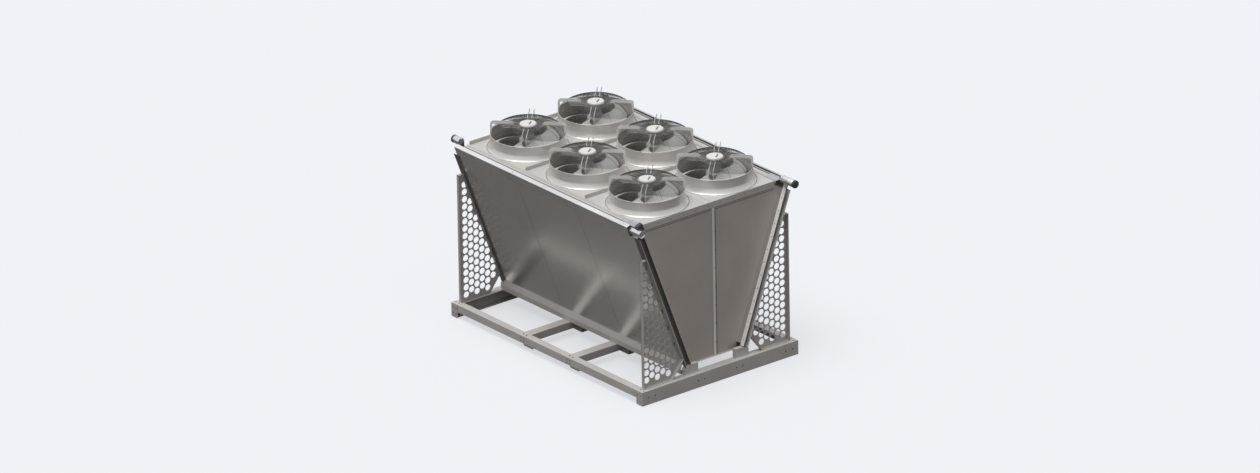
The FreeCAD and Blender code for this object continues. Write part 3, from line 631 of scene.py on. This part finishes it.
def gussetPart(s):
    cutTop = s["bottom"] + s["cutHeight"]
    cutInner = bankReach(s["innerDepth"], cutTop)
    corners = [(s["outer"], s["bottom"]), (s["outer"], s["top"]),
               (bankReach(s["innerDepth"], s["top"]), s["top"]), (cutInner, cutTop),
               (cutInner + s["cutWidth"], s["bottom"])]
    middles, slant = gussetHoles(s, corners)
    lean, radius = bank["lean"], s["holeRadius"]
    down = np.array([-math.sin(lean), -math.cos(lean)])
    out = np.array([math.cos(lean), -math.sin(lean)])
    crossing = slant < radius + s["slantGap"]
    # Where the slanted edge runs through a hole, the outline follows the hole's arc instead.
    outline = [np.array(corners[:3])]
    for middle, gap in sorted(zip(middles[crossing], slant[crossing]), key=lambda one: -one[0][1]):
        half = math.acos(min(gap / radius, 1.0))
        angle = np.linspace(math.pi - half, half - math.pi, s["openSteps"])[:, None]
        outline.append(middle + radius * (np.cos(angle) * out - np.sin(angle) * down))
    outline.append(np.array(corners[3:]))
    outline = np.concatenate(outline)
    turn = -np.arange(s["holeSteps"]) * 2 * math.pi / s["holeSteps"]
    ring = radius * np.stack([np.cos(turn), np.sin(turn)], -1)
    loops = [outline] + [middle + ring for middle in middles[~crossing]]
    points = np.concatenate(loops)
    flat = [[Vector((y, z, 0.0)) for y, z in loop.tolist()] for loop in loops]
    faces = [list(face) for face in tessellate_polygon(flat)]
    count = len(points)
    front, back = (np.column_stack([np.full(count, x), points]) for x in s["panel"][::-1])
    faces += [[corner + count for corner in face[::-1]] for face in faces]
    start = 0
    for loop in loops:
        here = np.arange(len(loop)) + start
        after = np.roll(here, -1)
        faces += np.stack([here, after, after + count, here + count], -1).tolist()
        start += len(loop)
    folds = [flangePart(s, corners[k], corners[(k + 1) % 5]) for k in range(5)]
    return joined([(np.concatenate([front, back]), faces)] + folds)


def flangePart(s, start, end):
    # A strip folded out of the sheet, from its front face to the tip, with rounded tip edges.
    start, end = np.array(start), np.array(end)
    run = (end - start) / np.linalg.norm(end - start)
    inward = np.array([-run[1], run[0]])
    x0, x1, cut = s["panel"][0], s["tip"], s["foldEdge"]
    section = [(x0, 0.0), (x1 - cut, 0.0), (x1, cut), (x1, s["sheet"] - cut),
               (x1 - cut, s["sheet"]), (x0, s["sheet"])]
    points = [np.array([(x, *(place + inward * deep)) for x, deep in section]) for place in (start, end)]
    faces = gridFaces(2, 6, False, True) + [[5, 4, 3, 2, 1, 0], [6, 7, 8, 9, 10, 11]]
    return np.concatenate(points), faces


def mirroredPart(part, x, y):
    # The same part at another corner of the unit.
    return part[0] * np.array([x, y, 1.0]), part[1]


gusset = gussetPart(gussetSettings)
for end, x in endWays.items():
    for side in sideNames:
        makePiece(f"gusset_{end}_{side}_sheet", mirroredPart(gusset, x, sideWays[side]),
                  "powderCoatedGusset", replaced=[f"gusset_{end}_{side}"])
print("gussets made")


# Small shapes that the pieces below share

def block(low, high, cut=0.0008):
    # A box with chamfered edges: a chamfered rectangle carried along X, drawn in at both ends.
    low, top = np.array(low, float), np.array(high, float)
    middle, half = (low + top) / 2, (top - low) / 2
    drawn = np.array([cut, 0, 0, cut])[:, None]
    x = np.array([-half[0], cut - half[0], half[0] - cut, half[0]])[:, None]
    wide = np.array([1, 1, 1, -1, -1, -1, -1, 1])
    tall = np.array([-1, 1, 1, 1, 1, -1, -1, -1])
    side = np.array([1, 1, 0, 0, 1, 1, 0, 0])
    y = wide * (half[1] - np.where(side, drawn, cut))
    z = tall * (half[2] - np.where(side, cut, drawn))
    points = np.stack([x + 0 * y, y, z], -1).reshape(-1, 3) + middle
    return points, gridFaces(4, 8, False, True) + [list(range(8))[::-1], list(range(24, 32))]


def aimed(part, normal):
    # The part turned so that its own Z points along the normal.
    turn = np.array(Vector(normal).to_track_quat("Z", "Y").to_matrix())
    return part[0] @ turn.T, part[1]


def scattered(part, places):
    # One copy of the part at each place, all in one array.
    places = np.asarray(places, float)
    points = (places[:, None] + part[0][None]).reshape(-1, 3)
    step = len(part[0])
    return points, [[corner + step * k for corner in face] for k in range(len(places))
                    for face in part[1]]


def halfTurned(part):
    # The part and its twin, half a turn round: the unit is the same from both ends.
    return joined([part, (part[0] * np.array([-1.0, -1.0, 1.0]), part[1])])


def bothSides(part):
    return joined([mirroredPart(part, 1, y) for y in sideWays.values()])


def fourCorners(part):
    return joined([mirroredPart(part, x, y) for x in endWays.values() for y in sideWays.values()])


def alongX(part):
    # A turned part laid down, its axis along X.
    return part[0][:, [2, 0, 1]], part[1]


def bankPoint(depth, run):
    # On the right bank: depth inward from the coil's outer face, run down the slope.
    lean = bank["lean"]
    return (bank["reach"] - depth * math.cos(lean) - run * math.sin(lean),
            bank["height"] + depth * math.sin(lean) - run * math.cos(lean))


# Pipes: a header in each bank with one bare open end, and a capped connection at the other end

pipeSettings = {"radius": 0.04445, "wall": 0.0029, "recess": 0.012, "openEnd": 1.669, "blockEnd": 1.5565,
                "headerDepth": 0.0475, "headerRun": 0.0692, "stubDepth": 0.109, "stubRun": 0.0065,
                "stubStart": 1.6033, "stubEnds": {"right": 1.8363, "left": 1.7363}, "cap": 0.028,
                "capRadius": 0.0458, "gasket": (1.480, 1.492), "gasketRadius": 0.052,
                "rimEdge": 0.0008, "startEdge": 0.001, "endEdge": 0.0025, "endRound": 0.3,
                "segments": 40}


def headerPart(s):
    # Its open end is at +X here: the rim is rounded, and a plug shows inside.
    r, wall, end, cut = s["radius"], s["wall"], s["openEnd"], s["rimEdge"]
    return alongX(lathe([(r, -s["blockEnd"]), (r, end - cut), (r - cut, end), (r - wall + cut, end),
                         (r - wall, end - cut), (r - wall, end - s["recess"])], s["segments"]))


def tubePart(s, start, end, radius):
    # A closed tube: a small chamfer where it starts and a rounded edge where it ends.
    cut, small = s["endEdge"], s["startEdge"]
    bend = s["endRound"] * cut
    return alongX(lathe([(radius - small, start), (radius, start + small), (radius, end - cut),
                         (radius - bend, end - bend), (radius - cut, end)], s["segments"]))


def movedBy(part, x=0.0, y=0.0, z=0.0):
    return part[0] + np.array([x, y, z]), part[1]


headerY, headerZ = bankPoint(pipeSettings["headerDepth"], pipeSettings["headerRun"])
stubY, stubZ = bankPoint(pipeSettings["stubDepth"], pipeSettings["stubRun"])
header = headerPart(pipeSettings)
caps, gaskets = [], []
for side, way in sideWays.items():
    s = pipeSettings
    end = s["stubEnds"][side]
    stub = movedBy(tubePart(s, s["stubStart"], end - s["cap"] / 2, s["radius"]), 0, stubY, stubZ)
    bare = movedBy((header[0] * np.array([-1.0, 1.0, 1.0]), header[1]), 0, headerY, headerZ)
    pair = joined([bare, stub])
    spin = np.array([way, way, 1.0])
    makePiece(f"pipes_{side}_tubes", (pair[0] * spin, pair[1]), "drawnStainless",
              replaced=[f"pipes_{side}"])
    cap = movedBy(tubePart(s, end - s["cap"], end, s["capRadius"]), 0, stubY, stubZ)
    near, far = s["gasket"]
    gasket = movedBy(tubePart(s, -far, -near, s["gasketRadius"]), 0, headerY, headerZ)
    caps.append((cap[0] * spin, cap[1]))
    gaskets.append((gasket[0] * spin, gasket[1]))
makePiece("pipeCaps", joined(caps), "blackRubberAndPaintedShade")
makePiece("coverGaskets", joined(gaskets), "blackRubberAndPaintedShade")
print("pipes made")


# Banks: a dark strip on each header cover's return, as painted shade, and the joints between the coils'
# sections, a little below the faces

coverShade = {"depths": (0.0541, 0.0553), "runs": (0.0005, 0.022), "ends": (-1.479, 1.5565)}
seamSettings = {"x": 0.5343, "width": 0.0036, "depths": (0.0012, 0.0027), "runs": (0.117, 1.9345)}


def bankSlab(depths, runs, ends):
    # A thin plate on the right bank, between two depths, two runs and two ends along X.
    corners = [bankPoint(depth, run) for depth, run in
               ((depths[0], runs[0]), (depths[1], runs[0]), (depths[1], runs[1]), (depths[0], runs[1]))]
    points = np.array([(x, y, z) for x in ends for y, z in corners])
    return points, gridFaces(2, 4, False, True) + [[3, 2, 1, 0], [4, 5, 6, 7]]


def seamPart(s):
    half = s["width"] / 2
    return joined([bankSlab(s["depths"], s["runs"], (way * s["x"] - half, way * s["x"] + half))
                   for way in (-1, 1)])


makePiece("coverPaintedShade", halfTurned(bankSlab(**coverShade)), "blackRubberAndPaintedShade")
makePiece("coilSeams", halfTurned(seamPart(seamSettings)), "blackRubberAndPaintedShade")


# Collar seals: a dark ring round each collar's foot

sealSettings = {"radii": (0.4665, 0.4712), "heights": (2.1043, 2.1058), "segments": 96}


def collarSeal(s):
    (inner, outer), (low, high) = s["radii"], s["heights"]
    return lathe([(inner, low), (inner, high), (outer, high), (outer, low)], s["segments"], ring=True)


makePiece("collarSeals", onEachFan(collarSeal(sealSettings)), "blackRubberAndPaintedShade")


# Channels: painted light, as nearly white plates over each channel's inner and outer flanges, and
# painted highlights, as plates over their cut ends

paintedLightSettings = {
    "innerFlange": {"depths": (0.0701, 0.0713), "runs": (0.035, 1.965), "ends": (1.6036, 1.6600)},
    "outerFlange": {"depths": (0.0002, 0.0012), "runs": (0.125, 1.970), "ends": (1.6068, 1.6600)},
    "outerEndHighlight": {"depths": (-0.0029, -0.0001), "runs": (0.118, 1.974), "ends": (1.6601, 1.6606)},
    "innerEndHighlight": {"depths": (0.0671, 0.0699), "runs": (0.118, 1.974), "ends": (1.6601, 1.6606)},
}
paintedLightPlates = joined([bankSlab(**strip) for strip in paintedLightSettings.values()])
makePiece("channelPaintedLight", fourCorners(paintedLightPlates), "paintedLightCoat")


# End walls: two painted shadow lines under the deck, a painted shadow line beside the centre strip, and
# its folded lip

wallSettings = {"face": 1.533, "proud": (0.0002, 0.0014), "lineHeights": (2.0235, 2.004),
                "lineHalf": 0.0025, "lineEnd": 0.945, "lineEndHeight": 2.026, "lineSlope": 0.4,
                "cut": 0.0004, "edgeXs": (1.5333, 1.5364), "edgeYs": (0.0945, 0.1015),
                "lipXs": (1.5358, 1.5393), "lipYs": (0.0545, 0.0815), "stripZs": (0.24, 2.02)}


def wallShadowLines(s):
    # Level painted shadow lines, shorter the lower they are, since the banks lean in; then the painted
    # shadow at the strip's edge.
    parts = []
    for height in s["lineHeights"]:
        half = s["lineEnd"] - s["lineSlope"] * (s["lineEndHeight"] - height)
        parts.append(block((s["face"] + s["proud"][0], -half, height - s["lineHalf"]),
                           (s["face"] + s["proud"][1], half, height + s["lineHalf"]), s["cut"]))
    parts.append(block(*zip(s["edgeXs"], s["edgeYs"], s["stripZs"]), s["cut"]))
    return joined(parts)


makePiece("wallPaintedShadows", halfTurned(wallShadowLines(wallSettings)), "blackRubberAndPaintedShade")
lip = block(*zip(wallSettings["lipXs"], wallSettings["lipYs"], wallSettings["stripZs"]))
makePiece("wallStripLips", halfTurned(lip), "galvanisedStrip")


# Deck edges and sills: thin plates beside the near corner blocks, a dark strip in each edge's trough
# as painted shade, and the plates that close the ends of the sills

plateSettings = {
    "edge": {"low": (1.3535, 0.9605, 2.1122), "high": (1.5565, 1.072, 2.1135), "cut": 0.0004},
    "trough": {"low": (-1.535, 1.037, 2.1062), "high": (1.352, 1.054, 2.1072), "cut": 0.0003},
    "sillEnd": {"low": (1.6005, 1.127, 0.0055), "high": (1.7045, 1.130, 0.1625)},
}
makePiece("edgePlates", bothSides(block(**plateSettings["edge"])), "galvanisedPlate")
makePiece("troughPaintedShade", bothSides(block(**plateSettings["trough"])), "blackRubberAndPaintedShade")
makePiece("sillEndPlates", fourCorners(block(**plateSettings["sillEnd"])), "baseCoatWithPaintedLight")


# Motor caps: a raised half cover whose straight edge runs across, and along it a dark block, the painted
# shade of a cable notch

capSettings = {"radius": 0.088, "half": 70, "steps": 15, "heights": (2.3925, 2.3952), "turn": 35,
               "notch": {"low": (0.018, -0.042, 2.3925), "high": (0.034, 0.042, 2.3965), "cut": 0.0005}}


def capCoverPart(s):
    # Less than half of a disc, cut straight between the arc's ends, at two heights.
    edge = arc(0.0, 0.0, s["radius"], s["radius"], -s["half"], s["half"], s["steps"])
    points = [np.column_stack([edge, np.full(s["steps"], height)]) for height in s["heights"]]
    low = list(range(s["steps"]))
    faces = gridFaces(2, s["steps"], False, True) + [low[::-1], [s["steps"] + k for k in low]]
    return np.concatenate(points), faces


makePiece("motorCapCovers", onEachFan(capCoverPart(capSettings), capSettings["turn"]),
          "castMotorHousing")
makePiece("capNotchShade", onEachFan(block(**capSettings["notch"]), capSettings["turn"]),
          "blackRubberAndPaintedShade")
print("sheet details made")


# Bolts, rivets and screws, dark in each row; the heads on the base's outer faces are sunk

headSettings = {
    "bolt": {"profile": [(0.0085, 0.0), (0.0085, 0.0035), (0.0070, 0.0050)], "segments": 6},
    "sunk": {"profile": [(0.0085, 0.0), (0.0085, 0.0003), (0.0080, 0.0005)], "segments": 8},
    "screw": {"profile": [(0.0060, 0.0), (0.0050, 0.0018), (0.0025, 0.0026)], "segments": 8},
    "rivet": {"profile": [(0.0050, 0.0), (0.0040, 0.0014), (0.0018, 0.0020)], "segments": 6},
}


def spaced(start, step, count):
    return start + step * np.arange(count)


def spread(xs, ys, zs):
    # Every combination of the places along the three axes.
    return np.stack(np.meshgrid(xs, ys, zs, indexing="ij"), -1).reshape(-1, 3)


def bankRow(xs, depth, runs):
    return [(x, *bankPoint(depth, run)) for x in xs for run in runs]


# Where each row's heads are along X, Y and Z; on the channels and covers, along X and in depth.
boltSettings = {
    "web": (1.710, (-1.045, -0.945, -0.321, -0.232, 0.232, 0.321, 0.945, 1.045), 0.090),
    "sillEnd": ((1.625, 1.680), 1.130, (0.050, 0.118)),
    "sillTop": ((1.625, 1.680), (-1.085, 1.085), 0.168),
    "railSide": ((-0.460, -0.406, 0.366, 0.420), -1.130, (0.105, 0.140)),
    "railTop": ((-0.460, -0.406, 0.366, 0.420), -1.088, 0.168),
    "wallTop": (1.536, spaced(-0.895, 0.179, 11), 2.061),
    "wallStrip": (1.5358, 0.088, spaced(0.390, 0.224, 8)),
    "wallFoot": (1.548, spaced(-0.333, 0.074, 10), 0.2385),
    "deckEdge": (spaced(-1.32, 0.03, 89), 0.979, 2.1123),
    "deckEnd": (spaced(1.24, 0.03, 10), (-0.045, 0.045), 2.104),
    "gussetFoot": (1.640, (-0.951, -0.864, -0.777, -0.69, 0.69, 0.777, 0.864, 0.951), 0.1714),
    "channelRuns": spaced(0.22, 0.152, 12),
    "innerFlange": ((1.632, -1.632), 0.0713),
    "outerStrip": ((1.645, -1.645), 0.0012),
    "outerFlange": ((1.638, -1.638, 1.580, -1.580), -0.0031),
    "coverEnd": ((0.583, 0.045, 0.005, -1.392, -1.432), 0.027, (0,)),
}


def fasteners(s):
    # Rows of a head, the way it points, and its places; the caller adds the same rows half a turn
    # round.
    heads = {name: lathe(head["profile"], head["segments"]) for name, head in headSettings.items()}
    across, rise = math.cos(bank["lean"]), math.sin(bank["lean"])
    up, near, right, left = (0, 0, 1), (1, 0, 0), (0, 1, 0), (0, -1, 0)
    inner, outer, above = (0, -across, rise), (0, across, -rise), (0, rise, across)
    endX, endY, endZ = s["sillEnd"]
    rows = [
        ("bolt", near, spread(*s["web"])),
        ("sunk", left, spread(endX, -endY, endZ)),
        ("sunk", right, spread(endX, endY, endZ)),
        ("bolt", up, spread(*s["sillTop"])),
        ("sunk", left, spread(*s["railSide"])),
        ("bolt", up, spread(*s["railTop"])),
        ("screw", near, spread(*s["wallTop"])),
        ("screw", near, spread(*s["wallStrip"])),
        ("rivet", up, spread(*s["wallFoot"])),
        ("rivet", up, spread(*s["deckEdge"])),
        ("rivet", up, spread(*s["deckEnd"])),
        ("rivet", up, spread(*s["gussetFoot"])),
        ("screw", inner, bankRow(*s["innerFlange"], s["channelRuns"])),
        ("screw", inner, bankRow(*s["outerStrip"], s["channelRuns"])),
        ("screw", outer, bankRow(*s["outerFlange"], s["channelRuns"])),
        ("screw", above, bankRow(*s["coverEnd"])),
    ]
    return joined([scattered(aimed(heads[head], way), places) for head, way, places in rows])


makePiece("boltsAndScrews", halfTurned(fasteners(boltSettings)), "phosphatedSteel")
print("fasteners made")
